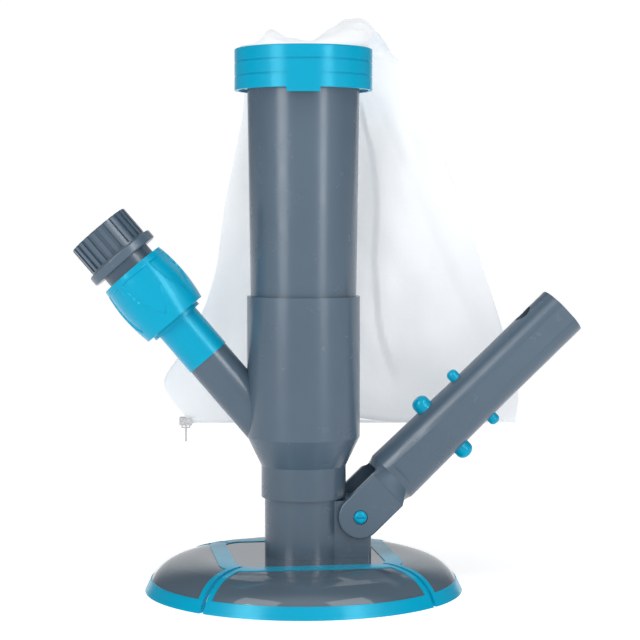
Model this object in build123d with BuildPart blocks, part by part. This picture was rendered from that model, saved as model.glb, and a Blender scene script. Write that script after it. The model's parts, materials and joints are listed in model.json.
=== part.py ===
from build123d import *
from math import cos, radians, sin
import os

os.makedirs("parts", exist_ok=True)

# A garden-hose jet vacuum for pools. It stands on its suction head with +Z up. The origin is on
# the floor, on the head's axis. The hose inlet leans to -X and the bag hangs at +Y.
# Millimetres and degrees.

# Fits
running = 0.05  # radial clearance of whatever turns or slides in a bore
face_gap = 0.1  # gap between flat faces that turn or slide past each other
yoke_gap = 0.3  # gap at each side of the lug, inside the yoke
soft_gap = 0.3  # gap between the bag and what it hangs on

# Suction head
head_turn = 7.5  # the head and handle are turned this far about Z against the body
dome_radius = 83.2
dome_wall = 2.2
mouth_height = 5.0  # the skirt's inner wall stands straight up to this height
skirt_height = 5.8
skirt_lean = 2.9
plate_run = 31.2  # the flat top ends this far in from the rim
plate_height = 18.4
brow_run = 15.2
brow_height = 15.8
rim_height = 6.3
trim_proud = 0.4
slot_width = 2.5
slot_border = 3.0
slot_run = 31.7  # each slot starts this far in from the rim
slot_count = 4
border_run = 40.2  # from the rim in to the middle of each side of the square border
border_width = 9.0
border_corner = 10.0  # radius of the border's inner corners
border_depth = 1.0
hub_wall = 1.8
hub_depth = 6.0

# Neck and hinge lug
neck_radius = 20.5
neck_bore = 18.0
neck_bottom = 6.6
neck_top = 48.9
spigot_radius = 19.6
spigot_bore = 16.8
spigot_length = 11.0
seal_wire = 1.4
lug_width = 29.5
lug_reach = 34.0
lug_bottom = 12.0
lug_top = 48.0
lug_round = 2.0
pin_reach = 27.4
pin_height = 39.8
pin_radius = 2.6
pin_head_radius = 3.5
pin_head_sink = 1.2
pin_head_proud = 1.2
pin_head_dome = 1.8  # rounding of the heads' edges
driver_slot_width = 0.9
driver_slot_depth = 0.9
nut_reach = 6.0  # how far the nut's shank reaches in to meet the pin's

# Pole handle, with distances measured along its axis from the hinge pin
handle_rise = 43.4
handle_length = 154.6
tube_radius = 15.0  # at the yoke, from where the tube tapers
tip_radius = 14.0  # outer radius of the straight stretch that a pole slides over
tip_length = 57.0
tube_wall = 2.0
socket_depth = 52.0  # the bore's mouth is wider down to here, and a pole stops on its step
socket_step = 0.5
tube_floor = 33.0
flat_width = 9.4
ear_radius = 11.5
ear_thickness = 3.95
ear_edge = 1.0  # rounding of the ears' outer edges
root_round = 5.0  # rounding of the corners between the ears
flare_start = 20.0
flare_length = 7.4
fork_root = 23.5
lock_hole_along = 137.8
lock_hole_radius = 5.25

# Snap buttons and their spring clips
large_along = 64.9
large_radius = 4.85
large_proud = 6.85  # above the tube's straight stretch
small_along = 87.8
small_radius = 3.1
small_proud = 4.95
button_flange = 1.1
button_dome = 0.8  # rounding of the tip, as a share of the button's radius
flange_step = 0.9
flange_room = 0.15
clip_thickness = 0.6
clip_bend = 2.4

# Body and its inlet pipe
collar_radius = 22.3
collar_height = 16.5
cone_height = 15.2
sleeve_radius = 29.7
sleeve_height = 73.9
body_wall = 2.4
ledge_height = 3.0
seat_depth = 34.6  # how deep the riser plugs into the sleeve
inlet_lean = 40.5
inlet_height = 63.4  # where the inlet's axis meets the body's axis
inlet_radius = 11.8
inlet_bore = 7.5
inlet_length = 77.4
inlet_spigot_radius = 9.9
inlet_spigot_length = 17.0

# Jet ring
jet_wall = 2.0
jet_flange = 2.5
jet_flange_drop = 8.0  # the flange's top lies this far below the riser's seat
jet_hole_radius = 1.3
jet_count = 8

# Riser tube, collar ring and bag
riser_spigot_radius = 27.7
riser_top_radius = 29.5
riser_wall = 2.2
riser_length = 125.4  # above the sleeve
bead_radius = 32.6
bead_height = 4.0
ring_outer_radius = 36.0
ring_wall = 2.1
ring_height = 21.5
ring_over = 3.3  # the ring stands this far above the riser's rim
ring_line_depth = 0.4
ring_line_height = 0.9
tab_width = 17.2
tab_drop = 2.4
hem_drop = 2.0  # the hem shows this far below the ring
bag_front = 38.5
bag_depth = 20.0
bag_left = -78.0
bag_right = 117.0
bag_bottom = 89.0
bag_puff = 20.0  # how high the cloth stands above the ring
shoulder_overhang = 12.0
shoulder_lift = 6.0
peak_inset = 8.0
corner_run = 12.0
right_edge = 54.0
left_edge = 90.0
zip_start = -68.5
zip_length = 179.5
tape_height = 4.5
tape_thickness = 1.2
coil_height = 2.0
coil_width = 2.6
slider_length = 7.0
slider_wall = 0.9
pull_length = 8.5
pull_width = 3.2
pull_thickness = 0.9
bail_wire = 0.7
bail_length = 4.9
window_room = 0.35  # room beside the bail in the pull's window, and past its post

# Quick connector, with lengths along the inlet's axis
socket_radius = 12.2
connector_length = 51.0
stop_ring_radius = 14.9
stop_ring_width = 2.0
stop_ring_along = 24.4
sleeve_grip_length = 34.3
sleeve_end_radius = 18.3
sleeve_mid_radius = 19.8
sleeve_mid_along = 11.0
grip_bore = 16.4
land_along = 15.2
land_width = 3.0
lip_width = 2.5
lip_gap = 0.5
spring_wire = 0.6
spring_radius = 13.7
spring_turns = 4
plug_radius = 9.5
plug_length = 21.0
plug_bore = 6.5
claw_width = 2.6
claw_span = 5.0
claw_count = 4
claw_along = 45.0
claw_bite = 0.4
plug_seal_wire = 1.3

# Hose adapter
adapter_neck_radius = 14.3
adapter_neck_length = 15.0
adapter_flange_radius = 19.9
adapter_flange_width = 5.3
flange_round = 1.0
cap_radius = 17.4
cap_length = 16.8
cap_floor = 3.0
thread_radius = 12.6
rib_count = 24
rib_depth = 1.1
rib_gap = 2.2
cap_chamfer = 0.5
cap_skirt = 0.8
washer_thickness = 2.0
washer_step = 1.0
washer_seat_step = 0.7  # the washer's seat is this much smaller than the thread

# Places worked out from the sizes above
collar_bottom = neck_top + face_gap
cone_bottom = collar_bottom + collar_height
sleeve_bottom = cone_bottom + cone_height
sleeve_top = sleeve_bottom + sleeve_height
spigot_top = neck_top + spigot_length
riser_bottom = sleeve_top - seat_depth
riser_top = sleeve_top + riser_length
ring_top = riser_top + ring_over
ring_bottom = ring_top - ring_height
mouth_radius = dome_radius - skirt_lean - dome_wall
plate_radius = dome_radius - plate_run
brow_radius = dome_radius - brow_run
slot_inner = dome_radius - slot_run
border_half = dome_radius - border_run
fork_gap = lug_width + 2 * yoke_gap
yoke_width = fork_gap + 2 * ear_thickness
flare_end = flare_start + flare_length
socket_bore = tip_radius - tube_wall
tube_bore = socket_bore - socket_step
slot_turn = 180 / slot_count + head_turn

head_plane = Plane.XY.rotated((0, 0, head_turn))
pin_centre = head_plane.from_local_coords((pin_reach, 0, pin_height))
outward = head_plane.x_dir
hinge_axis = head_plane.y_dir
tube_axis = outward * cos(radians(handle_rise)) + Vector(0, 0, sin(radians(handle_rise)))
tube_side = Vector(0, 0, cos(radians(handle_rise))) - outward * sin(radians(handle_rise))
handle_plane = Plane(origin=pin_centre, x_dir=tube_side, z_dir=tube_axis)
hinge_plane = Plane(origin=pin_centre, x_dir=tube_axis, z_dir=hinge_axis)

inlet_axis = Vector(-sin(radians(inlet_lean)), 0, cos(radians(inlet_lean)))
inlet_plane = Plane(origin=(0, 0, inlet_height), x_dir=(0, -1, 0), z_dir=inlet_axis)
inlet_section = Plane(origin=(0, 0, inlet_height), x_dir=(0, -1, 0), z_dir=Vector(0, -1, 0).cross(inlet_axis))


def dome_outline(inset):
    """Draw the dome's half outline, along a skin that lies inset below the outer one."""
    plate_edge = Vector(plate_radius, plate_height - inset)
    brow = Vector(brow_radius - inset / 4, brow_height - inset)
    skirt_top = Vector(dome_radius - skirt_lean - inset, skirt_height - inset / 3)
    rim = Vector(dome_radius - inset, 0)
    Line((0, plate_height - inset), plate_edge)
    upper = TangentArc(plate_edge, brow, tangent=(1, 0))
    TangentArc(brow, skirt_top, tangent=upper % 1)
    Polyline(skirt_top, rim, (0, 0), (0, plate_height - inset))


def dome_inside():
    """Draw the half outline of the space under the dome, down to its straight mouth."""
    plate_edge = Vector(plate_radius, plate_height - dome_wall)
    brow = Vector(brow_radius - dome_wall / 4, brow_height - dome_wall)
    mouth_top = Vector(mouth_radius, mouth_height)
    Line((0, plate_height - dome_wall), plate_edge)
    upper = TangentArc(plate_edge, brow, tangent=(1, 0))
    TangentArc(brow, mouth_top, tangent=upper % 1)
    Polyline(mouth_top, (mouth_radius, 0), (0, 0), (0, plate_height - dome_wall))


def slot_strips(width, inner_radius):
    """Draw one radial strip per slot, from inner_radius out past the rim."""
    length = dome_radius + rim_height - inner_radius
    with PolarLocations(inner_radius + length / 2, slot_count, start_angle=slot_turn):
        Rectangle(length, width)


def ring_section(inner, outer, bottom, top):
    """Draw the half section of a plain ring, with radius along x and height along y."""
    with Locations(((inner + outer) / 2, (bottom + top) / 2)):
        Rectangle(outer - inner, top - bottom)


# ---- Suction head ----

with BuildPart() as rim_and_borders:
    with BuildSketch(Plane.XY):
        Circle(dome_radius + rim_height)
    extrude(amount=rim_height)
    with BuildSketch(Plane.XY):
        slot_strips(slot_width + 2 * slot_border, slot_inner)
    extrude(amount=plate_height + trim_proud)

with BuildPart() as square_border:
    with BuildSketch(Plane.XZ):
        with BuildLine():
            dome_outline(-trim_proud)
        make_face()
    revolve(axis=Axis.Z)
    with BuildSketch(Plane.XZ):
        with BuildLine():
            dome_outline(border_depth)
        make_face()
    revolve(axis=Axis.Z, mode=Mode.SUBTRACT)
    with BuildSketch(head_plane):
        border_outer = 2 * border_half + border_width
        border_inner = 2 * border_half - border_width
        RectangleRounded(border_outer, border_outer, border_corner + border_width)
        RectangleRounded(border_inner, border_inner, border_corner, mode=Mode.SUBTRACT)
    extrude(amount=plate_height + trim_proud, mode=Mode.INTERSECT)

with BuildPart() as edge_trim:
    with BuildSketch(Plane.XZ):
        with BuildLine():
            dome_outline(-trim_proud)
        make_face()
    revolve(axis=Axis.Z)
    with BuildSketch(Plane.XZ):
        with BuildLine():
            dome_inside()
        make_face()
    revolve(axis=Axis.Z, mode=Mode.SUBTRACT)
    add(rim_and_borders.part, mode=Mode.INTERSECT)
    add(square_border.part)
    with BuildSketch(Plane.XY):
        slot_strips(slot_width, slot_inner)
    extrude(amount=plate_height + trim_proud, mode=Mode.SUBTRACT)
edge_trim.part.label = "edge_trim"
export_step(edge_trim.part, "parts/edge_trim.step")

with BuildPart() as neck_tube:
    with BuildSketch(Plane.XY.offset(neck_bottom)):
        Circle(neck_radius)
    extrude(amount=neck_top - neck_bottom)
    with BuildSketch(head_plane.offset(lug_bottom)):
        with Locations((lug_reach / 2, 0)):
            Rectangle(lug_reach, lug_width)
    extrude(amount=lug_top - lug_bottom)
    fillet(neck_tube.edges().filter_by(Axis.Z).sort_by(Axis.X)[-2:], lug_round)
    with BuildSketch(Plane.XY.offset(neck_top)):
        Circle(spigot_radius)
    extrude(amount=spigot_length)
    with BuildSketch(Plane.XY.offset(neck_bottom)):
        Circle(neck_bore)
    extrude(amount=neck_top - neck_bottom - dome_wall, mode=Mode.SUBTRACT)
    with BuildSketch(Plane.XY.offset(neck_bottom)):
        Circle(spigot_bore)
    extrude(amount=spigot_top - neck_bottom, mode=Mode.SUBTRACT)
    with BuildSketch(Plane.XZ):
        seal_height = neck_top + spigot_length / 2
        seal_bottom = seal_height - seal_wire / 2
        ring_section(spigot_radius - seal_wire, collar_radius, seal_bottom, seal_bottom + seal_wire)
    revolve(axis=Axis.Z, mode=Mode.SUBTRACT)
    with BuildSketch(hinge_plane):
        Circle(pin_radius + running)
    extrude(amount=lug_width, both=True, mode=Mode.SUBTRACT)
neck_tube.part.label = "neck_tube"
export_step(neck_tube.part, "parts/neck_tube.step")

with BuildPart() as neck_seal:
    with BuildSketch(Plane.XZ):
        with Locations((spigot_radius - seal_wire / 2, seal_height)):
            Circle(seal_wire / 2)
    revolve(axis=Axis.Z)
neck_seal.part.label = "neck_seal"
export_step(neck_seal.part, "parts/neck_seal.step")

with BuildPart() as head_dome:
    with BuildSketch(Plane.XZ):
        with BuildLine():
            dome_outline(0)
        make_face()
    revolve(axis=Axis.Z)
    with BuildSketch(Plane.XZ):
        with BuildLine():
            dome_inside()
        make_face()
    revolve(axis=Axis.Z, mode=Mode.SUBTRACT)
    with BuildSketch(Plane.XY.offset(plate_height - hub_depth)):
        Circle(neck_radius + hub_wall)
    extrude(amount=hub_depth - dome_wall / 2)
    with BuildSketch(Plane.XY):
        Circle(neck_radius)
    extrude(amount=2 * plate_height, mode=Mode.SUBTRACT)
    with BuildSketch(head_plane):
        with Locations((lug_reach / 2, 0)):
            RectangleRounded(lug_reach, lug_width, lug_round)
    extrude(amount=2 * plate_height, mode=Mode.SUBTRACT)
    add(edge_trim.part, mode=Mode.SUBTRACT)
    with BuildSketch(Plane.XY):
        slot_strips(slot_width, slot_inner)
    extrude(amount=2 * plate_height, mode=Mode.SUBTRACT)
head_dome.part.label = "head_dome"
export_step(head_dome.part, "parts/head_dome.step")

# ---- Hinge pin ----

ear_face = yoke_width / 2
sink_floor = ear_face - pin_head_sink


def pin_end(side):
    """Give the plane of the sunk seat at one end of the pin, facing outwards."""
    return Plane(origin=pin_centre + hinge_axis * side * sink_floor, x_dir=outward, z_dir=hinge_axis * side)


for name, side, shank_length in (("hinge_pin", -1, 2 * sink_floor - nut_reach), ("hinge_nut", 1, nut_reach)):
    with BuildPart() as pin_half:
        with BuildSketch(pin_end(side).offset(face_gap)):
            Circle(pin_radius)
        extrude(amount=-shank_length - face_gap)
        with BuildSketch(pin_end(side).offset(face_gap)):
            Circle(pin_head_radius)
        extrude(amount=pin_head_sink + pin_head_proud - face_gap)
        head_face = pin_half.faces().sort_by(Axis(pin_end(side).origin, pin_end(side).z_dir))[-1]
        fillet(head_face.edges(), pin_head_dome)
        with BuildSketch(pin_end(side).offset(pin_head_sink + pin_head_proud)):
            Rectangle(2 * pin_head_radius + pin_radius, driver_slot_width)
        extrude(amount=-driver_slot_depth, mode=Mode.SUBTRACT)
    pin_half.part.label = name
    export_step(pin_half.part, f"parts/{name}.step")

# ---- Pole handle ----

flat_reach = (tip_radius**2 - (flat_width / 2) ** 2) ** 0.5


def across_tube(along, side):
    """Give a plane through the tube's axis, facing out of its upper (1) or lower (-1) side."""
    centre = handle_plane.from_local_coords((0, 0, along))
    return Plane(origin=centre, x_dir=tube_axis, z_dir=tube_side * side)


def on_ear_rim(edge):
    """Say whether this edge runs round the outer face of an ear, short of the flare."""
    middle = hinge_plane.to_local_coords(edge @ 0.5)
    return abs(abs(middle.Z) - yoke_width / 2) < running and middle.X < flare_start - running


def in_fork_root(edge):
    """Say whether this edge is a corner between an ear's inner face and the fork's root."""
    middle = hinge_plane.to_local_coords(edge @ 0.5)
    return abs(abs(middle.Z) - fork_gap / 2) < running and abs(middle.X - fork_root) < running


with BuildPart() as pole_handle:
    with BuildSketch(hinge_plane):
        Circle(ear_radius)
        with Locations((flare_start / 2, 0)):
            Rectangle(flare_start, 2 * ear_radius)
    extrude(amount=yoke_width / 2, both=True)
    fillet(pole_handle.edges().filter_by(on_ear_rim), ear_edge)
    with BuildSketch(handle_plane.offset(flare_start)):
        RectangleRounded(2 * ear_radius, yoke_width, ear_edge)
    with BuildSketch(handle_plane.offset(flare_end)):
        Circle(tube_radius)
    loft()
    with BuildSketch(handle_plane.offset(flare_end)):
        Circle(tube_radius)
    with BuildSketch(handle_plane.offset(handle_length - tip_length)):
        Circle(tip_radius)
    loft()
    with BuildSketch(handle_plane.offset(handle_length - tip_length)):
        Circle(tip_radius)
    extrude(amount=tip_length)
    with BuildSketch(handle_plane.offset(tube_floor)):
        Circle(tube_bore)
    extrude(amount=handle_length - tube_floor, mode=Mode.SUBTRACT)
    with BuildSketch(handle_plane.offset(handle_length - socket_depth)):
        Circle(socket_bore)
    extrude(amount=socket_depth, mode=Mode.SUBTRACT)
    with BuildSketch(handle_plane.offset(flare_end + flare_length / 2)):
        with Locations((0, flat_reach + tube_radius / 2), (0, -flat_reach - tube_radius / 2)):
            Rectangle(2 * tube_radius, tube_radius)
    extrude(amount=handle_length, mode=Mode.SUBTRACT)
    with BuildSketch(handle_plane.offset(-2 * ear_radius)):
        Rectangle(4 * tube_radius, fork_gap)
    extrude(amount=2 * ear_radius + fork_root, mode=Mode.SUBTRACT)
    fillet(pole_handle.edges().filter_by(in_fork_root), root_round)
    with BuildSketch(hinge_plane):
        Circle(pin_radius + running)
    extrude(amount=yoke_width, both=True, mode=Mode.SUBTRACT)
    for side in (-1, 1):
        with BuildSketch(pin_end(side)):
            Circle(pin_head_radius + yoke_gap)
        extrude(amount=2 * pin_head_sink, mode=Mode.SUBTRACT)
    for along, radius in ((large_along, large_radius), (small_along, small_radius)):
        with BuildSketch(across_tube(along, 1)):
            Circle(radius + running)
        extrude(amount=2 * tube_radius, both=True, mode=Mode.SUBTRACT)
    with BuildSketch(across_tube(lock_hole_along, 1)):
        Circle(lock_hole_radius)
    extrude(amount=2 * tube_radius, mode=Mode.SUBTRACT)
pole_handle.part.label = "pole_handle"
export_step(pole_handle.part, "parts/pole_handle.step")

# ---- Snap buttons and spring clips ----


def flange_seat(flange_radius):
    """Give how far out a flat flange of this radius can sit in the tube's round bore."""
    return (tube_bore**2 - flange_radius**2) ** 0.5 - flange_room


for size, along, radius, proud in (
    ("large", large_along, large_radius, large_proud),
    ("small", small_along, small_radius, small_proud),
):
    seat = flange_seat(radius + flange_step)
    for place, side in (("upper", 1), ("lower", -1)):
        press_plane = across_tube(along, side)
        with BuildPart() as button:
            with BuildSketch(press_plane.offset(seat - button_flange)):
                Circle(radius + flange_step)
            extrude(amount=button_flange)
            with BuildSketch(press_plane.offset(seat)):
                Circle(radius)
            extrude(amount=tip_radius + proud - seat)
            tip = button.faces().sort_by(Axis(press_plane.origin, press_plane.z_dir))[-1]
            fillet(tip.edges(), radius * button_dome)
        button.part.label = f"{size}_button_{place}"
        export_step(button.part, f"parts/{size}_button_{place}.step")

    leg = seat - button_flange - clip_thickness / 2
    with BuildPart() as clip:
        with BuildSketch(hinge_plane):
            with BuildLine():
                arm_end = along + radius + flange_step
                arm_start = along - radius - flange_step
                bend_start = arm_start - 2 * (leg - clip_bend)
                Polyline((arm_end, leg), (arm_start, leg), (bend_start, clip_bend))
                ThreePointArc((bend_start, clip_bend), (bend_start - clip_bend, 0), (bend_start, -clip_bend))
                Polyline((bend_start, -clip_bend), (arm_start, -leg), (arm_end, -leg))
            trace(line_width=clip_thickness)
        extrude(amount=radius, both=True)
    clip.part.label = f"{size}_clip_spring"
    export_step(clip.part, f"parts/{size}_clip_spring.step")

# ---- Body ----

collar_bore = spigot_radius + running
seat_bore = riser_spigot_radius + running
chamber_radius = sleeve_radius - body_wall
jet_outer = spigot_bore + jet_wall
jet_top = riser_bottom - jet_flange_drop
ledge_bottom = spigot_top + face_gap

with BuildPart() as jet_body:
    with BuildSketch(Plane.XZ):
        with BuildLine():
            Polyline(
                (0, collar_bottom),
                (collar_radius, collar_bottom),
                (collar_radius, cone_bottom),
                (sleeve_radius, sleeve_bottom),
                (sleeve_radius, sleeve_top),
                (0, sleeve_top),
                close=True,
            )
        make_face()
    revolve(axis=Axis.Z)
    with BuildSketch(inlet_plane):
        Circle(inlet_radius)
    extrude(amount=inlet_length)
    with BuildSketch(inlet_plane.offset(inlet_length)):
        Circle(inlet_spigot_radius)
    extrude(amount=inlet_spigot_length)
    with BuildSketch(Plane.XZ):
        with BuildLine():
            Polyline(
                (0, collar_bottom),
                (collar_bore, collar_bottom),
                (collar_bore, ledge_bottom),
                (jet_outer, ledge_bottom),
                (jet_outer, ledge_bottom + ledge_height),
                (collar_radius - body_wall, ledge_bottom + ledge_height),
                (collar_radius - body_wall, cone_bottom),
                (chamber_radius, sleeve_bottom),
                (chamber_radius, riser_bottom),
                (seat_bore, riser_bottom),
                (seat_bore, sleeve_top),
                (0, sleeve_top),
                close=True,
            )
        make_face()
    revolve(axis=Axis.Z, mode=Mode.SUBTRACT)
    with BuildSketch(inlet_plane.offset(jet_outer)):
        Circle(inlet_bore)
    extrude(amount=inlet_length + inlet_spigot_length, mode=Mode.SUBTRACT)
jet_body.part.label = "jet_body"
export_step(jet_body.part, "parts/jet_body.step")

with BuildPart() as jet_ring:
    with BuildSketch(Plane.XZ):
        ring_section(spigot_bore, jet_outer, ledge_bottom + face_gap, jet_top)
        ring_section(spigot_bore, chamber_radius - running, jet_top - jet_flange, jet_top)
    revolve(axis=Axis.Z)
    with BuildSketch(Plane.XY.offset(jet_top)):
        with PolarLocations((jet_outer + chamber_radius) / 2, jet_count):
            Circle(jet_hole_radius)
    extrude(amount=-jet_flange, mode=Mode.SUBTRACT)
jet_ring.part.label = "jet_ring"
export_step(jet_ring.part, "parts/jet_ring.step")

bead_bottom = riser_top - bead_height

with BuildPart() as riser_tube:
    with BuildSketch(Plane.XZ):
        with BuildLine():
            Polyline(
                (riser_spigot_radius - riser_wall, riser_bottom + face_gap),
                (riser_spigot_radius, riser_bottom + face_gap),
                (riser_spigot_radius, sleeve_top),
                (riser_top_radius, bead_bottom),
                (bead_radius, bead_bottom),
                (bead_radius, riser_top),
                (riser_top_radius - riser_wall, riser_top),
                (riser_spigot_radius - riser_wall, sleeve_top),
                close=True,
            )
        make_face()
    revolve(axis=Axis.Z)
riser_tube.part.label = "riser_tube"
export_step(riser_tube.part, "parts/riser_tube.step")

ring_bore = ring_outer_radius - ring_wall

with BuildPart() as collar_ring:
    with BuildSketch(Plane.XZ):
        ring_section(ring_bore, ring_outer_radius, ring_bottom, ring_top)
    revolve(axis=Axis.Z)
    fillet(collar_ring.faces().sort_by(Axis.Z)[-1].edges().sort_by(SortBy.RADIUS)[-1], ring_wall / 3)
    with BuildSketch(Plane.XZ):
        for share in (1 / 3, 2 / 3):
            line_height = ring_bottom + share * ring_height
            ring_section(
                ring_outer_radius - ring_line_depth,
                ring_outer_radius + ring_line_depth,
                line_height - ring_line_height / 2,
                line_height + ring_line_height / 2,
            )
    revolve(axis=Axis.Z, mode=Mode.SUBTRACT)
    with BuildSketch(Plane.XY.offset(ring_bottom - tab_drop)) as tab:
        Circle(ring_outer_radius)
        Circle(ring_bore, mode=Mode.SUBTRACT)
        with Locations((0, -ring_outer_radius)):
            Rectangle(tab_width, ring_outer_radius, mode=Mode.INTERSECT)
    extrude(amount=ring_height / 2)
collar_ring.part.label = "collar_ring"
export_step(collar_ring.part, "parts/collar_ring.step")

# ---- Bag and zip ----

with BuildPart() as bag_hem:
    with BuildSketch(Plane.XZ):
        hem_bottom = ring_bottom - hem_drop
        ring_section(riser_top_radius + soft_gap, ring_bore - soft_gap, hem_bottom, bead_bottom - soft_gap)
    revolve(axis=Axis.Z)
bag_hem.part.label = "bag_hem"
export_step(bag_hem.part, "parts/bag_hem.step")

bag_base = ring_top + soft_gap
bag_back = bag_front + bag_depth
bag_middle = bag_front + bag_depth / 2

bag_shoulder = (ring_outer_radius + shoulder_overhang, ring_top + shoulder_lift)
bag_peak = (ring_outer_radius - peak_inset, bag_base + bag_puff)
bag_dip = (-ring_outer_radius / 2, bag_base + bag_puff / 2)

with BuildPart() as debris_bag:
    with BuildSketch(Plane.XZ.offset(-bag_back)):
        with BuildLine():
            Polyline(
                (bag_left + corner_run, bag_bottom),
                (bag_right, bag_bottom),
                (bag_right - corner_run, bag_bottom + right_edge),
                bag_shoulder,
                bag_peak,
                bag_dip,
                (-ring_outer_radius, ring_bottom),
                (-ring_outer_radius - corner_run, bag_bottom + left_edge),
                (bag_left, bag_bottom + corner_run),
                close=True,
            )
        make_face()
    extrude(amount=bag_depth)
    with BuildSketch(Plane.XZ.offset(-bag_middle)):
        with BuildLine():
            Polyline(
                (-ring_outer_radius + peak_inset, bag_base),
                (ring_outer_radius, bag_base),
                (ring_outer_radius, bag_shoulder[1]),
                bag_peak,
                bag_dip,
                close=True,
            )
        make_face()
    extrude(amount=bag_middle)
    with BuildSketch(Plane.XY.offset(riser_top + soft_gap)):
        Circle(riser_top_radius)
    extrude(amount=bag_base + bag_puff / 3 - riser_top)
debris_bag.part.label = "debris_bag"
export_step(debris_bag.part, "parts/debris_bag.step")

tape_bottom = bag_bottom - tape_height
coil_bottom = tape_bottom - coil_height
zip_end = zip_start + zip_length
zip_middle = (zip_start + zip_end) / 2

with BuildPart() as zip_tape:
    with BuildSketch(Plane.XY.offset(tape_bottom)):
        for side in (-1, 1):
            with Locations((zip_middle, bag_middle + side * tape_thickness)):
                Rectangle(zip_length, tape_thickness)
    extrude(amount=tape_height)
zip_tape.part.label = "zip_tape"
export_step(zip_tape.part, "parts/zip_tape.step")

with BuildPart() as zip_coil:
    with BuildSketch(Plane.YZ.offset(zip_start)):
        with Locations((bag_middle, coil_bottom + coil_height / 2)):
            RectangleRounded(coil_width, coil_height, coil_height / 3)
    extrude(amount=zip_length)
zip_coil.part.label = "zip_coil"
export_step(zip_coil.part, "parts/zip_coil.step")

slider_inner = 3 * tape_thickness + 2 * soft_gap
slider_outer = slider_inner + 2 * slider_wall
slider_bottom = coil_bottom - soft_gap - slider_wall
slider_height = coil_height + tape_height / 2
slider_middle = zip_start + slider_length / 2
pull_line = slider_bottom - face_gap - pull_thickness / 2
bail_top = pull_line - pull_thickness / 2 - face_gap
bail_bottom = bail_top - bail_wire

with BuildPart() as zip_slider:
    with BuildSketch(Plane.YZ.offset(zip_start)):
        with Locations((bag_middle, slider_bottom + slider_height / 2)):
            Rectangle(slider_outer, slider_height)
        with Locations((bag_middle, slider_bottom + slider_wall + slider_height / 2)):
            Rectangle(slider_inner, slider_height, mode=Mode.SUBTRACT)
    extrude(amount=slider_length)
    with BuildSketch(Plane.XZ.offset(-bag_middle)):
        with Locations((slider_middle, (slider_bottom + bail_bottom) / 2)):
            Rectangle(bail_length, slider_bottom - bail_bottom)
        with Locations((slider_middle, (slider_bottom + bail_top) / 2)):
            Rectangle(bail_length - 2 * bail_wire, slider_bottom - bail_top, mode=Mode.SUBTRACT)
    extrude(amount=bail_wire / 2, both=True)
zip_slider.part.label = "zip_slider"
export_step(zip_slider.part, "parts/zip_slider.step")

window_width = bail_wire + 2 * window_room
window_length = bail_length / 2 + window_room

with BuildPart() as zip_pull:
    with BuildSketch(Plane.XZ.offset(-bag_middle)):
        with Locations((slider_middle, pull_line)):
            Circle(pull_thickness / 2)
        with Locations((slider_middle, pull_line - pull_length / 2)):
            Rectangle(pull_thickness, pull_length)
    extrude(amount=pull_width / 2, both=True)
    with BuildSketch(Plane.YZ.offset(slider_middle)):
        with Locations((bag_middle, pull_line - pull_thickness / 2 - window_length / 2)):
            Rectangle(window_width, window_length)
        with Locations((bag_middle, pull_line - pull_length + pull_width / 2)):
            Circle(pull_width / 4)
    extrude(amount=pull_thickness, both=True, mode=Mode.SUBTRACT)
zip_pull.part.label = "zip_pull"
export_step(zip_pull.part, "parts/zip_pull.step")

# ---- Quick connector ----

inlet_line = Axis((0, 0, inlet_height), inlet_axis)
connector_top = inlet_length + connector_length
shoulder_along = connector_top + 2 * face_gap
plug_bottom = shoulder_along - plug_length
claw_middle = inlet_length + claw_along
plug_groove = plug_radius - claw_bite
plug_seat = plug_radius + running
seal_along = plug_bottom + 4 * plug_seal_wire
stop_top = inlet_length + stop_ring_along + stop_ring_width
grip_bottom = stop_top + face_gap
grip_top = grip_bottom + sleeve_grip_length
land_bottom = grip_bottom + land_along


def claw_boxes(side_room):
    """Draw the claws as seen along the inlet's axis, wider all round by side_room."""
    reach = socket_radius - plug_groove + 2 * side_room
    with PolarLocations((plug_groove + socket_radius) / 2, claw_count):
        Rectangle(reach, claw_span + 2 * side_room)


with BuildPart() as connector_body:
    with BuildSketch(inlet_section):
        ring_section(inlet_bore, socket_radius, inlet_length, connector_top)
    revolve(axis=inlet_line)
    with BuildSketch(inlet_section):
        ring_section(0, inlet_spigot_radius, inlet_length, inlet_length + inlet_spigot_length + face_gap)
        ring_section(0, plug_seat, plug_bottom - face_gap, connector_top)
        seal_edge = seal_along - plug_seal_wire / 2
        ring_section(0, plug_seat + plug_seal_wire, seal_edge, seal_edge + plug_seal_wire)
    revolve(axis=inlet_line, mode=Mode.SUBTRACT)
    with BuildSketch(inlet_plane.offset(claw_middle - claw_width / 2 - running)):
        claw_boxes(running)
    extrude(amount=claw_width + 2 * running, mode=Mode.SUBTRACT)
connector_body.part.label = "connector_body"
export_step(connector_body.part, "parts/connector_body.step")

with BuildPart() as connector_claws:
    with BuildSketch(inlet_plane.offset(claw_middle - claw_width / 2)):
        claw_boxes(0)
        Circle(socket_radius, mode=Mode.INTERSECT)
        Circle(plug_groove + running, mode=Mode.SUBTRACT)
    extrude(amount=claw_width)
connector_claws.part.label = "connector_claws"
export_step(connector_claws.part, "parts/connector_claws.step")

with BuildPart() as connector_seal:
    with BuildSketch(inlet_section):
        with Locations((plug_seat + plug_seal_wire / 2, seal_along)):
            Circle(plug_seal_wire / 2)
    revolve(axis=inlet_line)
connector_seal.part.label = "connector_seal"
export_step(connector_seal.part, "parts/connector_seal.step")

with BuildPart() as connector_ring:
    with BuildSketch(inlet_section):
        ring_section(socket_radius, stop_ring_radius, stop_top - stop_ring_width, stop_top)
    revolve(axis=inlet_line)
connector_ring.part.label = "connector_ring"
export_step(connector_ring.part, "parts/connector_ring.step")

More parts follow.
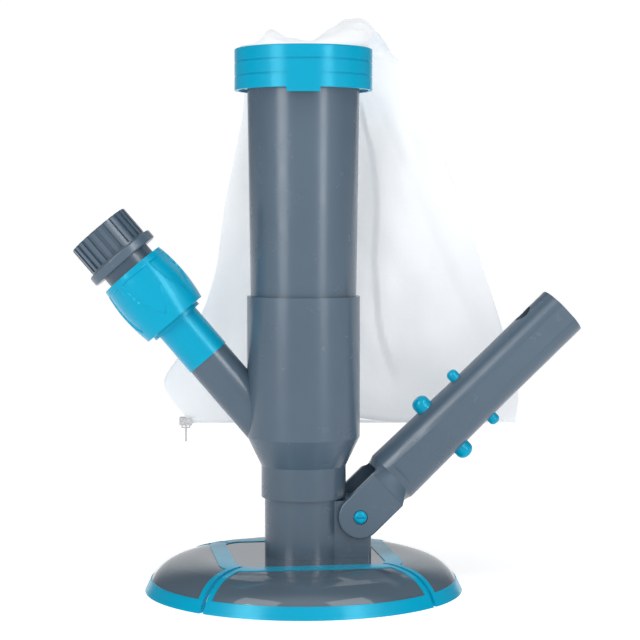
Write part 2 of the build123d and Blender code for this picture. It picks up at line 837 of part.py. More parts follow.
with BuildPart() as connector_sleeve:
    with BuildSketch(inlet_section):
        with BuildLine():
            grip = Spline(
                (sleeve_end_radius, grip_bottom),
                (sleeve_mid_radius, grip_bottom + sleeve_mid_along),
                (sleeve_end_radius, grip_top),
            )
            Polyline(grip @ 1, (0, grip_top), (0, grip_bottom), grip @ 0)
        make_face()
    revolve(axis=inlet_line)
    with BuildSketch(inlet_section):
        ring_section(0, grip_bore, grip_bottom, land_bottom)
        ring_section(0, socket_radius + running, land_bottom, land_bottom + land_width)
        ring_section(0, grip_bore, land_bottom + land_width, grip_top - lip_width)
        ring_section(0, adapter_neck_radius + lip_gap, grip_top - lip_width, grip_top)
    revolve(axis=inlet_line, mode=Mode.SUBTRACT)
connector_sleeve.part.label = "connector_sleeve"
export_step(connector_sleeve.part, "parts/connector_sleeve.step")

spring_start = inlet_plane.from_local_coords((0, 0, stop_top + spring_wire))
spring_length = land_bottom - stop_top - 2 * spring_wire

with BuildPart() as connector_spring:
    with BuildLine():
        coil = Helix(
            pitch=spring_length / spring_turns,
            height=spring_length,
            radius=spring_radius,
            center=spring_start,
            direction=inlet_axis,
        )
    with BuildSketch(Plane(origin=coil @ 0, z_dir=coil % 0)):
        Circle(spring_wire / 2)
    sweep(is_frenet=True)
connector_spring.part.label = "connector_spring"
export_step(connector_spring.part, "parts/connector_spring.step")

# ---- Hose adapter ----

adapter_neck_top = shoulder_along + adapter_neck_length
adapter_flange_top = adapter_neck_top + adapter_flange_width
washer_seat = adapter_flange_top + cap_floor

with BuildPart() as adapter_plug:
    with BuildSketch(inlet_section):
        ring_section(plug_bore, plug_radius, plug_bottom, shoulder_along)
        ring_section(plug_bore, adapter_neck_radius, shoulder_along, adapter_neck_top)
        groove_half = claw_width / 2 + face_gap
        with Locations((plug_groove + socket_radius / 2, claw_middle)):
            Rectangle(socket_radius, 2 * groove_half, mode=Mode.SUBTRACT)
    revolve(axis=inlet_line)
adapter_plug.part.label = "adapter_plug"
export_step(adapter_plug.part, "parts/adapter_plug.step")

washer_bore = thread_radius - washer_seat_step

with BuildPart() as adapter_cap:
    with BuildSketch(inlet_plane.offset(adapter_neck_top)):
        Circle(adapter_flange_radius)
    extrude(amount=adapter_flange_width)
    fillet(adapter_cap.edges().filter_by(GeomType.CIRCLE), flange_round)
    with BuildSketch(inlet_plane.offset(adapter_flange_top)):
        Circle(cap_radius)
    extrude(amount=cap_length)
    chamfer(adapter_cap.faces().sort_by(inlet_line)[-1].edges(), cap_chamfer)
    with BuildSketch(inlet_plane.offset(adapter_flange_top + cap_skirt)):
        with PolarLocations(cap_radius, rib_count):
            Rectangle(2 * rib_depth, rib_gap)
    extrude(amount=cap_length, mode=Mode.SUBTRACT)
    with BuildSketch(inlet_plane.offset(washer_seat)):
        Circle(washer_bore)
    extrude(amount=cap_length, mode=Mode.SUBTRACT)
    with BuildSketch(inlet_plane.offset(washer_seat + washer_thickness)):
        Circle(thread_radius)
    extrude(amount=cap_length, mode=Mode.SUBTRACT)
    with BuildSketch(inlet_plane.offset(adapter_neck_top)):
        Circle(plug_bore)
    extrude(amount=cap_length, mode=Mode.SUBTRACT)
adapter_cap.part.label = "adapter_cap"
export_step(adapter_cap.part, "parts/adapter_cap.step")

with BuildPart() as adapter_washer:
    with BuildSketch(inlet_plane.offset(washer_seat)):
        Circle(washer_bore - running)
        Circle(plug_bore + washer_step, mode=Mode.SUBTRACT)
    extrude(amount=washer_thickness)
adapter_washer.part.label = "adapter_washer"
export_step(adapter_washer.part, "parts/adapter_washer.step")
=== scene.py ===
# %% [markdown]
# # Pool cleaner with a hose jet
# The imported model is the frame: every moulded part is already at its real size and place, in metres.
# This notebook gives those parts their finishes and makes what a CAD solid can't show: the empty
# cloth bag and the finger panels of the hose connector.

# %% Load the frame
import bmesh
import bpy
import json
from math import atan2, cos, pi, radians, sin, tau
from mathutils import Matrix, Vector, noise


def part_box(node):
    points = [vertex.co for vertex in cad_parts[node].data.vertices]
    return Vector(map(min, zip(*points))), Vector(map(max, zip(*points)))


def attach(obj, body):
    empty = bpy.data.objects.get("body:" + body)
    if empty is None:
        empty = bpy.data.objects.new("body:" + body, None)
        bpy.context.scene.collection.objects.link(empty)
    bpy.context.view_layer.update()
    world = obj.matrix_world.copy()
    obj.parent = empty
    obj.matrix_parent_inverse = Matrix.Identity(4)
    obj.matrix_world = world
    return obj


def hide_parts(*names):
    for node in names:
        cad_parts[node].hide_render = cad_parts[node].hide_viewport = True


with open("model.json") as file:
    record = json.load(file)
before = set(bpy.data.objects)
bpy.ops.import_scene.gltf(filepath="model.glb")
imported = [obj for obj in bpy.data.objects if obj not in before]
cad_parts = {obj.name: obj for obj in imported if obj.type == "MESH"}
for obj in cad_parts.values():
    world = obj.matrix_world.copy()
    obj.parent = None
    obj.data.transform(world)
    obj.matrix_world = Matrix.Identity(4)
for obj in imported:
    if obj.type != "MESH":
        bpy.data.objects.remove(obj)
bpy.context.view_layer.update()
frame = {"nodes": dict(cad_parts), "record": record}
nodes = frame["nodes"]

# %% [markdown]
# ## Camera
# The camera stands level with the middle of the riser tube, a metre in front, and looks slightly
# down. A long lens keeps the tubes nearly parallel. It could be framed by eye, but a place and two
# angles are easier to repeat.

# %% Camera
camera_place = Vector((0.0, -1.0, 0.1969))
camera_tilt = radians(-3.145)
camera_turn = radians(0.496)
camera_lens = 107.18  # mm, on a sensor 36 mm wide

camera_data = bpy.data.cameras.new("camera")
camera_data.lens = camera_lens
camera_data.sensor_width = 36.0
camera = bpy.data.objects.new("camera", camera_data)
camera.location = camera_place
camera.rotation_euler = (pi / 2 + camera_tilt, 0.0, -camera_turn)
bpy.context.collection.objects.link(camera)
bpy.context.scene.camera = camera
print("camera at", tuple(camera.location))

# %% [markdown]
# ## Floor
# A white floor that runs far past the view, so it meets the white surroundings without an edge.
# It glows a little, like a lit table of milky acrylic, which keeps it white to the horizon and
# leaves only a faint shadow under the head.

# %% Floor
floor_radius = 60.0
floor_tone = 0.93
floor_glow = 0.55

floor_mesh = bpy.data.meshes.new("floor")
shape = bmesh.new()
bmesh.ops.create_circle(shape, cap_ends=True, segments=96, radius=floor_radius)
shape.to_mesh(floor_mesh)
shape.free()
floor = bpy.data.objects.new("floor", floor_mesh)
bpy.context.collection.objects.link(floor)


def new_material(name):
    """Give an empty node material, its tree and its shader."""
    material = bpy.data.materials.new(name)
    material.use_nodes = True
    tree = material.node_tree
    return material, tree, tree.nodes["Principled BSDF"]


floor_finish, _, floor_shader = new_material("floor_paint")
floor_shader.inputs["Base Color"].default_value = (floor_tone, floor_tone, floor_tone, 1)
floor_shader.inputs["Roughness"].default_value = 0.9
floor_shader.inputs["Specular IOR Level"].default_value = 0.1
floor_shader.inputs["Emission Color"].default_value = (1, 1, 1, 1)
floor_shader.inputs["Emission Strength"].default_value = floor_glow
floor_mesh.materials.append(floor_finish)
print("floor radius", floor_radius)

# %% [markdown]
# ## Light
# Glossy round tubes show their lights as stripes. Two upright strip softboxes, one at each side of
# the view, give every tube its pair of soft stripes. They light only the gloss, so they throw no
# shadows on the cloth. Two more, higher up, draw the stripe along the leaning handle and the hose
# connector. Behind the object the surroundings are bright, and the flat top of the head mirrors
# them; to the sides they are darker, which keeps the tubes' edges crisp against the white.

# %% Light
scene = bpy.context.scene
scene.view_settings.view_transform = "Standard"
world = bpy.data.worlds.new("studio")
scene.world = world
world.use_nodes = True
sky = world.node_tree
sky.nodes.clear()


def sky_background(colour):
    """Add a background of this colour to the studio's surroundings."""
    node = sky.nodes.new("ShaderNodeBackground")
    node.inputs["Color"].default_value = colour + (1,)
    return node


def sky_math(operation, first, second=0.0):
    """Add one step of arithmetic to the studio's surroundings."""
    node = sky.nodes.new("ShaderNodeMath")
    node.operation = operation
    for slot, value in enumerate((first, second)):
        if isinstance(value, float):
            node.inputs[slot].default_value = value
        else:
            sky.links.new(value, node.inputs[slot])
    return node.outputs[0]


def sky_ramp(value, low, high):
    """Turn a value into 0 below low and 1 above high, with a smooth step between."""
    node = sky.nodes.new("ShaderNodeMapRange")
    node.interpolation_type = "SMOOTHSTEP"
    node.inputs["From Min"].default_value = low
    node.inputs["From Max"].default_value = high
    sky.links.new(value, node.inputs["Value"])
    return node.outputs["Result"]


dark_side = 0.14
front_gain = 0.90
back_gain = 0.66
seen_white = 1.05

direction = sky.nodes.new("ShaderNodeTexCoord").outputs["Generated"]
split = sky.nodes.new("ShaderNodeSeparateXYZ")
sky.links.new(direction, split.inputs[0])
sideways = sky_math("ABSOLUTE", split.outputs["X"])
behind = sky_ramp(sideways, 0.62, 0.22)
low = sky_ramp(split.outputs["Z"], 0.62, 0.30)
back_half = sky_ramp(split.outputs["Y"], 0.0, 0.4)
glow = sky_math("MULTIPLY", sky_math("MULTIPLY", behind, low), back_half)
front_half = sky_ramp(split.outputs["Y"], 0.05, -0.45)
base = sky_math("ADD", sky_math("MULTIPLY", front_half, front_gain), dark_side)
strength = sky_math("ADD", sky_math("MULTIPLY", glow, back_gain), base)
seen = sky_background((1.0, 1.0, 1.0))
seen.inputs["Strength"].default_value = seen_white
around = sky_background((0.97, 0.985, 1.0))
sky.links.new(strength, around.inputs["Strength"])
choice = sky.nodes.new("ShaderNodeMixShader")
sky.links.new(sky.nodes.new("ShaderNodeLightPath").outputs["Is Camera Ray"], choice.inputs[0])
sky.links.new(around.outputs[0], choice.inputs[1])
sky.links.new(seen.outputs[0], choice.inputs[2])
output = sky.nodes.new("ShaderNodeOutputWorld")
sky.links.new(choice.outputs[0], output.inputs["Surface"])


def softbox(name, turn, distance, height, aim_height, width, length, power):
    """Place a softbox at this turn from the view's axis, facing a height on the object's axis."""
    data = bpy.data.lights.new(name, "AREA")
    data.shape = "RECTANGLE"
    data.size = width
    data.size_y = length
    data.energy = power
    light = bpy.data.objects.new(name, data)
    light.location = (distance * sin(turn), -distance * cos(turn), height)
    aim = Vector((0, 0, aim_height)) - light.location
    light.rotation_euler = aim.to_track_quat("-Z", "Y").to_euler()
    bpy.context.collection.objects.link(light)
    return light


upper_turn = 46
strip_height = 0.80

# Turn in degrees, width in metres, power in watts.
for side, turn, width, power in (("left", -44, 0.46, 12.0), ("right", 41, 0.32, 9.5)):
    strip = softbox(
        "strip_" + side,
        turn=radians(turn),
        distance=1.3,
        height=strip_height,
        aim_height=strip_height,
        width=width,
        length=1.40,
        power=power,
    )
    strip.visible_diffuse = False
overhead = softbox(
    "overhead", turn=0.0, distance=0.35, height=1.5, aim_height=0.16, width=1.0, length=1.0, power=3.8
)
overhead.visible_glossy = False
for side, turn in (("left", -upper_turn), ("right", upper_turn)):
    upper = softbox(
        "upper_" + side,
        turn=radians(turn),
        distance=0.95,
        height=0.95,
        aim_height=0.20,
        width=0.60,
        length=0.80,
        power=3.0,
    )
    upper.visible_diffuse = False

# %% [markdown]
# ## Moulded plastic
# The grey and the blue parts are injection-moulded, with a soft gloss. A flat colour would look
# like paint in a drawing, so the finish has three layers: a slow drift of tone through the
# moulding, smears that make the gloss uneven, and a very fine grain that breaks it up.


# %% Finish helpers
def link(tree, start, end):
    """Join two sockets."""
    tree.links.new(start, end)


def object_point(tree):
    """Give the point on the piece, in metres, in its own coordinates."""
    return tree.nodes.new("ShaderNodeTexCoord").outputs["Object"]


def noise_at(tree, point, scale, detail=2.0, roughness=0.5):
    """Add a noise that has this many cells per metre."""
    node = tree.nodes.new("ShaderNodeTexNoise")
    node.inputs["Scale"].default_value = scale
    node.inputs["Detail"].default_value = detail
    node.inputs["Roughness"].default_value = roughness
    link(tree, point, node.inputs["Vector"])
    return node.outputs["Fac"]


def spread(tree, value, low, high, start=0.3, end=0.7):
    """Map a value that runs from start to end onto low to high."""
    node = tree.nodes.new("ShaderNodeMapRange")
    node.inputs["From Min"].default_value = start
    node.inputs["From Max"].default_value = end
    node.inputs["To Min"].default_value = low
    node.inputs["To Max"].default_value = high
    link(tree, value, node.inputs["Value"])
    return node.outputs["Result"]


def blend_colours(tree, share, first, second):
    """Mix two colours by a share from 0 to 1; either may be a socket."""
    node = tree.nodes.new("ShaderNodeMix")
    node.data_type = "RGBA"
    link(tree, share, node.inputs["Factor"])
    for key, colour in (("A", first), ("B", second)):
        place = [i for i in node.inputs if i.name == key and i.type == "RGBA"][0]
        if isinstance(colour, tuple):
            place.default_value = colour + (1,)
        else:
            link(tree, colour, place)
    return [o for o in node.outputs if o.type == "RGBA"][0]


def bump_by(tree, height, strength, depth, normal=None):
    """Raise the surface by a height map; depth is in metres."""
    node = tree.nodes.new("ShaderNodeBump")
    node.inputs["Strength"].default_value = strength
    node.inputs["Distance"].default_value = depth
    link(tree, height, node.inputs["Height"])
    if normal is not None:
        link(tree, normal, node.inputs["Normal"])
    return node.outputs["Normal"]


# Cells of noise in a metre, and the grain's depth in metres.
drift_scale = 22.0
smear_scale = 75.0
grain_scale = 420.0
grain_depth = 0.00002


def moulded_plastic(name, colour, gloss_roughness, specular, grain_share=0.12):
    """Make the finish of a glossy moulding in one colour."""
    material, tree, shader = new_material(name)
    point = object_point(tree)
    tone = spread(tree, noise_at(tree, point, drift_scale, 3.0), 0.0, 1.0)
    darker = tuple(c * 0.94 for c in colour)
    lighter = tuple(min(1.0, c * 1.05) for c in colour)
    body = blend_colours(tree, tone, darker, lighter)
    link(tree, body, shader.inputs["Base Color"])
    smear = noise_at(tree, point, smear_scale, 4.0, 0.6)
    roughness = spread(tree, smear, gloss_roughness * 0.85, gloss_roughness * 1.2)
    link(tree, roughness, shader.inputs["Roughness"])
    grain = noise_at(tree, point, grain_scale, 1.0)
    link(tree, bump_by(tree, grain, grain_share, grain_depth), shader.inputs["Normal"])
    shader.inputs["Specular IOR Level"].default_value = specular
    shader.inputs["IOR"].default_value = 1.5
    return material


slate = moulded_plastic("slate_plastic", (0.088, 0.132, 0.180), 0.24, 0.42)
slate_gloss = moulded_plastic("slate_polished", (0.088, 0.128, 0.168), 0.06, 0.7, 0.02)
blue = moulded_plastic("blue_plastic", (0.0, 0.38, 0.60), 0.22, 0.40)
blue_shader = blue.node_tree.nodes["Principled BSDF"]
blue_shader.inputs["Specular Tint"].default_value = (0.35, 0.9, 1.0, 1.0)
print("plastics:", slate.name, slate_gloss.name, blue.name)

# %% [markdown]
# ## Small materials
# Inside and at the joints there are springs, rubber rings and a nylon latch. They get finishes of
# their own, because the moving sleeve and the swinging handle uncover them.


# %% Steel, rubber and nylon
def spring_steel_finish():
    """Drawn wire: bright metal with fine lines of uneven gloss."""
    material, tree, shader = new_material("spring_steel")
    point = object_point(tree)
    tone = spread(tree, noise_at(tree, point, 400.0, 3.0), 0.0, 1.0)
    metal = blend_colours(tree, tone, (0.50, 0.50, 0.50), (0.66, 0.65, 0.63))
    link(tree, metal, shader.inputs["Base Color"])
    link(tree, spread(tree, noise_at(tree, point, 1200.0), 0.22, 0.4), shader.inputs["Roughness"])
    shader.inputs["Metallic"].default_value = 1.0
    return material


def rubber_finish():
    """Black rubber: matt, with a faint bloom."""
    material, tree, shader = new_material("black_rubber")
    point = object_point(tree)
    bloom = spread(tree, noise_at(tree, point, 120.0, 4.0), 0.0, 1.0)
    black = blend_colours(tree, bloom, (0.014, 0.014, 0.016), (0.030, 0.030, 0.033))
    link(tree, black, shader.inputs["Base Color"])
    link(tree, spread(tree, noise_at(tree, point, 300.0), 0.6, 0.8), shader.inputs["Roughness"])
    return material


def nylon_finish(name, low, high, painted_glow_share=0.0):
    """Natural nylon: milky, half matt; it may carry a painted glow that stands for light coming through,
    as the cloth round it does.
    """
    material, tree, shader = new_material(name)
    point = object_point(tree)
    tone = spread(tree, noise_at(tree, point, 150.0, 3.0), 0.0, 1.0)
    link(tree, blend_colours(tree, tone, low, high), shader.inputs["Base Color"])
    link(tree, spread(tree, noise_at(tree, point, 500.0), 0.35, 0.5), shader.inputs["Roughness"])
    # Painted light: the emission is a painted glow for light that comes through the thin nylon.
    shader.inputs["Emission Color"].default_value = (0.95, 0.975, 1.0, 1)
    shader.inputs["Emission Strength"].default_value = painted_glow_share
    return material


def zip_metal_finish():
    """Plated zinc: grey metal, scuffed where fingers hold it."""
    material, tree, shader = new_material("zip_metal")
    point = object_point(tree)
    scuff = spread(tree, noise_at(tree, point, 700.0, 4.0), 0.0, 1.0)
    plating = blend_colours(tree, scuff, (0.42, 0.43, 0.45), (0.62, 0.62, 0.63))
    link(tree, plating, shader.inputs["Base Color"])
    link(tree, spread(tree, scuff, 0.25, 0.45, 0.0, 1.0), shader.inputs["Roughness"])
    shader.inputs["Metallic"].default_value = 1.0
    return material


steel = spring_steel_finish()
rubber = rubber_finish()
nylon = nylon_finish("white_nylon", (0.74, 0.74, 0.71), (0.84, 0.84, 0.82))
# The zip's nylon gets a painted glow, like the cloth round it.
zip_nylon = nylon_finish("zip_nylon", (0.76, 0.77, 0.79), (0.86, 0.87, 0.89), 0.25)
zip_metal = zip_metal_finish()

# %% [markdown]
# ## Finishes on the frame's parts
# Each CAD part keeps its mesh and only takes a new material in its slots. The table goes by the
# record's material slots, apart from the head, whose top is polished and mirrors the studio.

# %% Give each part its finish
finishes = {
    "slate_plastic": slate,
    "blue_plastic": blue,
    "black_rubber": rubber,
    "white_nylon": nylon,
    "zip_nylon": zip_nylon,
    "zip_metal": zip_metal,
    "spring_steel": steel,
}
polished = {"head_dome": slate_gloss}

slots = {part["node"]: part["material_slot"] for part in frame["record"]["subparts"]}
for name, part in nodes.items():
    finish = polished.get(name, finishes.get(slots[name]))
    if finish is not None:
        for place in range(len(part.data.materials)):
            part.data.materials[place] = finish
print("finished:", sum(1 for name in nodes if slots[name] in finishes))

# %% [markdown]
# ## Bag cloth
# The bag is fine white polyester, closed by a zip along its bottom. Its weave is finer than a
# millimetre, so it shows as a faint tooth and not as threads. Light from the white surroundings comes
# through both layers of it. A faint painted glow stands for that light, because paths through four walls
# of cloth would need far more samples. The painted glow is a little weaker towards the right side.

# %% Cloth finish
thread_scale = 330.0
whiteness_scale = 28.0
crumple_scale = 90.0
# Depths of the weave and of the crumples, in metres.
weave_depth = 0.00012
crumple_depth = 0.0012


def cloth_finish():
    """White woven polyester: two crossed bands of thread, a soft sheen, uneven whiteness and a painted
    glow for light that comes through.
    """
    material, tree, shader = new_material("white_fabric")
    point = object_point(tree)
    tone = spread(tree, noise_at(tree, point, whiteness_scale, 4.0), 0.0, 1.0)
    white = blend_colours(tree, tone, (0.72, 0.73, 0.75), (0.78, 0.79, 0.80))
    link(tree, white, shader.inputs["Base Color"])
    threads = []
    for axis in ("X", "Z"):
        wave = tree.nodes.new("ShaderNodeTexWave")
        wave.bands_direction = axis
        wave.inputs["Scale"].default_value = thread_scale
        wave.inputs["Distortion"].default_value = 0.6
        wave.inputs["Detail"].default_value = 1.0
        link(tree, point, wave.inputs["Vector"])
        threads.append(wave.outputs["Fac"])
    weave = tree.nodes.new("ShaderNodeMath")
    weave.operation = "ADD"
    link(tree, threads[0], weave.inputs[0])
    link(tree, threads[1], weave.inputs[1])
    woven = bump_by(tree, weave.outputs[0], 0.15, weave_depth)
    crumple = bump_by(tree, noise_at(tree, point, crumple_scale, 5.0, 0.6), 0.35, crumple_depth, woven)
    link(tree, crumple, shader.inputs["Normal"])
    shader.inputs["Roughness"].default_value = 0.85
    shader.inputs["Specular IOR Level"].default_value = 0.2
    shader.inputs["Sheen Weight"].default_value = 0.25
    shader.inputs["Sheen Roughness"].default_value = 0.5
    # Painted light: the emission is a painted glow for light coming through the cloth, painted weaker
    # towards the right side.
    shader.inputs["Emission Color"].default_value = (0.95, 0.975, 1.0, 1)
    across = tree.nodes.new("ShaderNodeSeparateXYZ")
    link(tree, point, across.inputs[0])
    painted_glow_share = spread(tree, across.outputs["X"], 0.33, 0.27, -0.02, 0.07)
    link(tree, painted_glow_share, shader.inputs["Emission Strength"])
    return material


cloth = cloth_finish()
print("cloth:", cloth.name)

# %% [markdown]
# ## Bag shape
# The bag is one sleeve of cloth. Its mouth is clamped round the riser, inside the blue ring. From
# there it stands up out of the ring, folds over to the back and hangs down flat to its zip. It is
# lofted: a ring of points starts at the mouth and is extruded along the sleeve, and each new ring
# is laid between two lines, one for the layer that faces the riser and one for the layer that ends
# up at the back. Simulated cloth would fall here too, but the folds of a lofted sleeve can be put
# where the real bag has them.

# %% Bag outline and folds
mm = 0.001
_, ring_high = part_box("collar_ring")
bag_low, bag_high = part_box("debris_bag")
tape_low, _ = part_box("zip_tape")
ring_top = ring_high.z
mouth_radius = 33.25
ring_height = 21.5 * mm
mouth_inset = 0.6 * mm
mouth_bottom = ring_top - ring_height + mouth_inset
cloth_thickness = 0.35 * mm
flap_drop = 2.0 * mm
zip_line = tape_low.z - flap_drop


def along_line(points, place):
    """Read a value off a line of (place, value) points."""
    for (a, low), (b, high) in zip(points, points[1:]):
        if place <= b:
            share = max(0.0, (place - a) / (b - a))
            return low + (high - low) * share
    return points[-1][1]


def smooth_line(points, place, reach):
    """Read the line as an average over a stretch, so that its corners are rounded."""
    steps = range(-3, 4)
    return sum(along_line(points, place + reach * k / 3) for k in steps) / len(steps)


# Height above the floor and distance left or right of the riser's axis, in mm.
left_edge = [
    (84, -62), (87, -68), (92, -72), (103, -78.5), (112, -74), (125, -64), (147, -54), (168, -47.5),
    (201, -43.5), (252, -33), (284, -31),
]
right_edge = [
    (84, 117), (98, 119.5), (138, 108.5), (204.7, 86.3), (241.4, 71.6), (272, 58.5), (284, 52.5),
]
# Distance left or right, and how far the zip's end of the cloth is lifted there, in mm.
bottom_edge = [(-80, 3.0), (-66, 1.0), (-45, 0.0), (-20, 1.0), (30, 3.0), (50, 0.5), (120, 0.0)]
# Distance left or right in mm, and the share of its full height that the fold over the ring has.
crest = [
    (-38, 0.12), (-25, 0.14), (-22, 0.42), (-17, 0.74), (-12, 0.45), (-7, 0.22), (3, 0.20), (10, 0.42),
    (20, 0.84), (30, 1.14), (34, 1.16), (39, 0.96), (44, 0.68), (48, 0.43), (53, 0.2),
]
# Distance along the sleeve from 0 to 1, and the y and z of each layer, in mm. At the zip the two
# layers stay apart, as flaps before and behind its coil.
over_y = [
    (0, -mouth_radius), (0.10, -mouth_radius), (0.14, -31), (0.20, -16), (0.26, 4), (0.32, 24),
    (0.38, 42), (0.44, 52), (0.50, 56), (0.70, 56), (0.96, 52.6), (1.0, 52.4),
]
over_z = [
    (0, 0), (0.10, 0), (0.14, 6), (0.20, 15), (0.26, 19.5), (0.32, 20), (0.38, 17), (0.44, 9), (0.50, 0),
]
under_y = [
    (0, mouth_radius), (0.16, 33.4), (0.28, 34.5), (0.38, 37.5), (0.44, 38.6), (0.50, 39), (0.80, 41),
    (0.96, 44.4), (1.0, 44.6),
]
under_z = [(0, 0), (0.10, 0.8), (0.28, 2.0), (0.38, 1.6), (0.44, -2), (0.50, -7)]
mouth_end = 0.10
hang_start = 0.50
# Heights of the long pleat and of the slanting crease, in mm.
pleat_height = 3.0
crease_height = 3.0


def pleat_line(z):
    """Give the x of the long pleat's folded edge at this height."""
    line = [(84, 56), (106, 51), (132, 42), (168, 38.5), (205, 40.3), (232, 37.5), (252, 31.5)]
    return smooth_line(line, z, 8)


def crease_line(z):
    """Give the x of the slanting crease across the right half."""
    return along_line([(84, 121), (175, 80.6), (245, 50.3), (284, 36)], z)


def ease(value):
    """A smooth step from 0 to 1."""
    value = max(0.0, min(1.0, value))
    return value * value * (3 - 2 * value)


def bag_folds(x, z):
    """Give how far the cloth comes forward here, all in mm."""
    fade = ease((z - 88) / 26) * (1 - 0.6 * ease((z - 225) / 50))
    past = x - pleat_line(z)
    pleat_ends = ease((z - 100) / 22) * ease((262 - z) / 16)
    pleat = pleat_height * ease(past / 1.3 + 0.5) * (1 - ease((past - 2) / 36)) * pleat_ends
    slant = x - crease_line(z)
    crease_ends = ease((z - 118) / 40) * ease((268 - z) / 20)
    crease = crease_height * (1 - ease(abs(slant - 4) / 11)) * crease_ends
    wave = 2.6 * sin(x * 0.062 + z * 0.018 + 0.6) + 1.7 * sin(x * 0.128 - z * 0.034 + 1.9)
    soft = 4.0 * noise.noise(Vector((x * 0.030, 3.1, z * 0.012)))
    small = 1.3 * noise.noise(Vector((x * 0.085 + 7, 1.7, z * 0.050)))
    return (wave + soft + small) * fade + pleat + crease


print("bag from", tuple(round(v, 3) for v in bag_low), "to", tuple(round(v, 3) for v in bag_high))

# %% [markdown]
# ## Bag mesh
# The ring of points has to be fine enough for the pleat's edge, about 1.5 mm, and still light.

# %% Loft the bag
ring_points = 300
ring_count = 132
# Stretches over which the tables' corners are rounded: in mm, then in shares of the sleeve.
left_reach, right_reach, crest_reach = 5, 6, 2.5
over_reach, under_reach = 0.03, 0.02
# How much the round mouth flattens into two layers, and the shares of the sleeve that it takes.
flatness = 0.9
flatten_run, settle_run, hem_run, ripple_run = 0.28, 0.06, 0.10, 0.1


def bag_point(turn, share):
    """Place one point of the sleeve: turn runs round it, share runs from its mouth to its zip."""
    across, depth = cos(turn), sin(turn)
    flatten = ease((share - mouth_end) / flatten_run)
    depth = (abs(depth) ** (1 + flatness * flatten)) * (1 if depth > 0 else -1)
    if share <= hang_start:
        height = ring_top / mm
        left_line = [(0, -mouth_radius), (mouth_end, -mouth_radius), (hang_start, left_edge[-1][1])]
        right_line = [(0, mouth_radius), (mouth_end, mouth_radius), (0.22, 36)]
        right_line.append((hang_start, right_edge[-1][1]))
        left = along_line(left_line, share)
        right = along_line(right_line, share)
    else:
        fall = (share - hang_start) / (1 - hang_start)
        height = ring_top / mm + (zip_line - ring_top) / mm * fall
        left = smooth_line(left_edge, height, left_reach)
        right = smooth_line(right_edge, height, right_reach)
    x = (left + right) / 2 + (right - left) / 2 * across
    over = Vector((smooth_line(over_y, share, over_reach), smooth_line(over_z, share, over_reach)))
    under = Vector((smooth_line(under_y, share, under_reach), smooth_line(under_z, share, under_reach)))
    over.y *= smooth_line(crest, x, crest_reach)
    if share <= mouth_end:
        low = (mouth_bottom - ring_top) / mm * (1 - share / mouth_end)
        over = Vector((-mouth_radius, low + 1.0))
        under = Vector((mouth_radius, low + 1.0))
    y, z = (over + under) / 2 + (over - under) / 2 * -depth
    if share > hang_start:
        fall = ease((share - hang_start) / settle_run)
        z = z * (1 - fall)
        facing = abs(depth) ** 0.35 * fall
        y -= bag_folds(x, height) * facing * (1.0 if depth > 0 else 0.8)
        z += along_line(bottom_edge, x) * ease((share - 1 + hem_run) / hem_run)
    else:
        ripple = ease((share - mouth_end) / ripple_run)
        y += 1.5 * noise.noise(Vector((x * 0.09, share * 30, depth * 2))) * ripple
        lift = 1.0 if depth < 0 else 0.2
        z += 1.6 * noise.noise(Vector((x * 0.11 + 4, share * 24, depth * 2 + 9))) * ripple * lift
    return Vector((x, y, height + z)) * mm


def extruded_ring(shape, edges):
    """Extrude a ring of edges in place and return the new ring's points and edges."""
    grown = bmesh.ops.extrude_edge_only(shape, edges=edges)["geom"]
    points = [g for g in grown if isinstance(g, bmesh.types.BMVert)]
    rims = [g for g in grown if isinstance(g, bmesh.types.BMEdge) and all(v in points for v in g.verts)]
    return points, rims


def loft_bag():
    """Make the bag's sleeve as an open mesh, one extruded ring after another."""
    shape = bmesh.new()
    turn_of = shape.verts.layers.float.new("turn")
    first = bmesh.ops.create_circle(shape, cap_ends=False, segments=ring_points, radius=1.0)["verts"]
    for k, vert in enumerate(first):
        vert[turn_of] = tau * (k + 0.5) / ring_points
        vert.co = bag_point(vert[turn_of], 0.0)
    rims = list(shape.edges)
    for step in range(1, ring_count + 1):
        points, rims = extruded_ring(shape, rims)
        for vert in points:
            vert.co = bag_point(vert[turn_of], step / ring_count)
    bmesh.ops.recalc_face_normals(shape, faces=shape.faces)
    mesh = bpy.data.meshes.new("debris_bag_cloth")
    shape.to_mesh(mesh)
    shape.free()
    return mesh


def new_piece(name, mesh, finish, body):
    """Put a finished mesh in the scene as a piece that rides on a body."""
    piece = bpy.data.objects.new(name, mesh)
    bpy.context.collection.objects.link(piece)
    mesh.materials.clear()
    mesh.materials.append(finish)
    for face in mesh.polygons:
        face.use_smooth = True
    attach(piece, body)
    return piece


bag = new_piece("debris_bag_cloth", loft_bag(), cloth, "body")
thickness = bag.modifiers.new("cloth thickness", "SOLIDIFY")
thickness.thickness = cloth_thickness
thickness.offset = 0.0
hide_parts("debris_bag", "bag_hem", "zip_tape")
print("bag faces:", len(bag.data.polygons))

# %% [markdown]
# ## Connector sleeve
# The blue sleeve of the hose connector is a turned shape with shallow finger panels, each like a
# shield with its point towards the inlet. A plain revolve has no panels and reads as a smooth
# barrel. Cutting shaped pockets with a boolean would leave ragged facets on the round, so the
# section is spun finely and the skin inside each panel's outline is set back.

# %% Connector sleeve
# The inlet's axis leans back from this point on the riser's axis.
inlet_lean = radians(40.5)
inlet_foot = Vector((0, 0, 63.4)) * mm
inlet_place = Matrix.Translation(inlet_foot) @ Matrix.Rotation(-inlet_lean, 4, "Y")

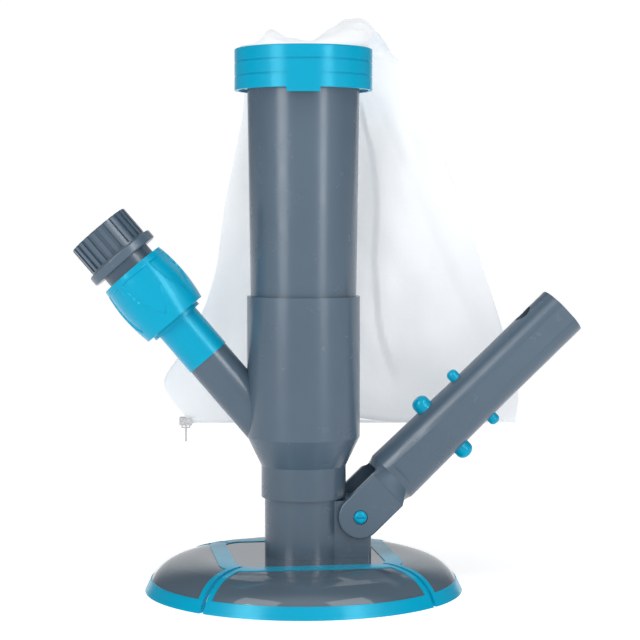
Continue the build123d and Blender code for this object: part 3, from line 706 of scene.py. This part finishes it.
# The CAD sleeve gives its own length, its radius at the lower end and at its fullest, and its bore.
spots = [inlet_place.inverted() @ vert.co / mm for vert in nodes["connector_sleeve"].data.vertices]
grip_start = min(spot.z for spot in spots)
grip_length = max(spot.z for spot in spots) - grip_start
end_radii = [spot.xy.length for spot in spots if spot.z < grip_start + 0.05]
grip_end_radius, grip_bore = max(end_radii), min(end_radii)
grip_full_radius = max(spot.xy.length for spot in spots)
print("sleeve start, length:", round(grip_start, 2), round(grip_length, 2))
print("sleeve radii:", [round(r, 2) for r in (grip_end_radius, grip_full_radius, grip_bore)])

# Sizes of the moulding, in mm; "along" runs up the inlet's axis from the sleeve's lower end.
land_radius = 12.25
land_start = 15.2
land_width = 3.0
lip_radius = 14.8
lip_width = 2.5
panel_count = 6
panel_depth = 0.75
panel_edge = 0.5
panel_top = 31.2
# Distance along the sleeve and half the width of a panel there, from its point up.
panel_outline = [(0, -2), (5, 0.0), (9, 3.2), (18, 7.2), (26, 8.3), (36, 8.3)]
spin_steps = 240
skin_steps = 84


def grip_skin(along):
    """Give the sleeve's outer radius, a gentle barrel."""
    share = along / grip_length
    return grip_end_radius + (grip_full_radius - grip_end_radius) * 4 * share * (1 - share)


def panel_share(turn, along):
    """Give 1 inside a finger panel, 0 outside it and a steep step between."""
    pitch = tau / panel_count
    from_middle = abs((turn / pitch) % 1 - 0.5) * pitch * grip_end_radius
    half_width = along_line(panel_outline, along)
    room = min(half_width - from_middle, panel_top - along)
    return ease(room / panel_edge)


def make_sleeve():
    """Spin the sleeve's section round the inlet's axis and set its finger panels back."""
    heights = [grip_length * k / skin_steps for k in range(skin_steps + 1)]
    skin = [(grip_skin(along), along) for along in heights]
    lip_start = grip_length - lip_width
    land_end = land_start + land_width
    inside = [
        (lip_radius, grip_length), (lip_radius, lip_start), (grip_bore, lip_start), (grip_bore, land_end),
        (land_radius, land_end), (land_radius, land_start), (grip_bore, land_start), (grip_bore, 0.0),
    ]
    outline = skin + inside
    shape = bmesh.new()
    points = [shape.verts.new((radius * mm, 0.0, along * mm)) for radius, along in outline]
    edges = [shape.edges.new(pair) for pair in zip(points, points[1:] + points[:1])]
    section = points + edges
    bmesh.ops.spin(
        shape, geom=section, axis=(0, 0, 1), cent=(0, 0, 0), angle=tau, steps=spin_steps, use_merge=True
    )
    for vert in shape.verts:
        radius = Vector((vert.co.x, vert.co.y)).length / mm
        along = vert.co.z / mm
        if radius > grip_bore + 1.0 and 0.1 < along < grip_length - 0.1:
            turn = atan2(vert.co.y, vert.co.x) % tau
            scale = (radius - panel_depth * panel_share(turn, along)) / radius
            vert.co.x *= scale
            vert.co.y *= scale
    bmesh.ops.recalc_face_normals(shape, faces=shape.faces)
    shape.transform(inlet_place @ Matrix.Translation((0, 0, grip_start * mm)))
    mesh = bpy.data.meshes.new("connector_sleeve_grip")
    shape.to_mesh(mesh)
    shape.free()
    return mesh


sleeve = new_piece("connector_sleeve_grip", make_sleeve(), blue, "sleeve")
sleeve.data.set_sharp_from_angle(angle=radians(32))
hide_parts("connector_sleeve")
print("sleeve faces:", len(sleeve.data.polygons))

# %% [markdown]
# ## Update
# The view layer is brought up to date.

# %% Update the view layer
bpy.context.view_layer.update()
